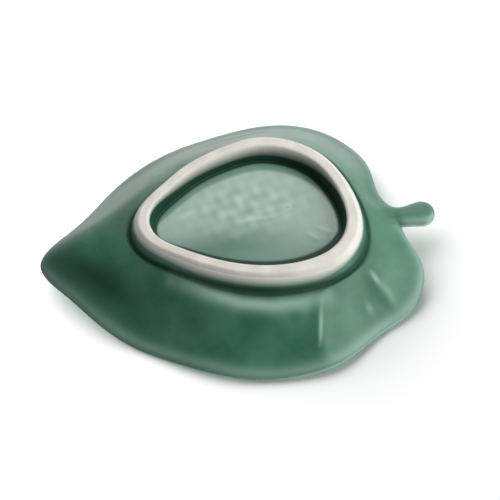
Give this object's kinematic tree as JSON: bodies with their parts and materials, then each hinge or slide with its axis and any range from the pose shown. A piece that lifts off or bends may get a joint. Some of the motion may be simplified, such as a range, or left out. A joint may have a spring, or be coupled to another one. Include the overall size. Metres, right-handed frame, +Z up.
{
  "type": "leaf-shaped ring dish",
  "caption": "Leaf-shaped ceramic ring dish with a wavy flared rim, short stem and egg-shaped foot ring, glazed green all over except the bare standing face",
  "frame": {"origin": "centre of the dish's bounding box at the table, where the foot ring stands", "axes": "+Z up out of the bowl, +X along the leaf from its tip to its stem, +Y across the leaf"},
  "size_m": [0.108, 0.0822, 0.0203],
  "materials": {
    "clay": "fired, under the glaze",
    "bare_clay": "fired, unglazed, smooth",
    "celadon": "glossy celadon glaze"
  },
  "bodies": {
    "root": {"leaf_bowl": "clay", "foot_ring": "bare_clay", "stem": "clay", "glaze_coat": "celadon", "foot_well_glaze": "celadon"}
  },
  "joints": []
}
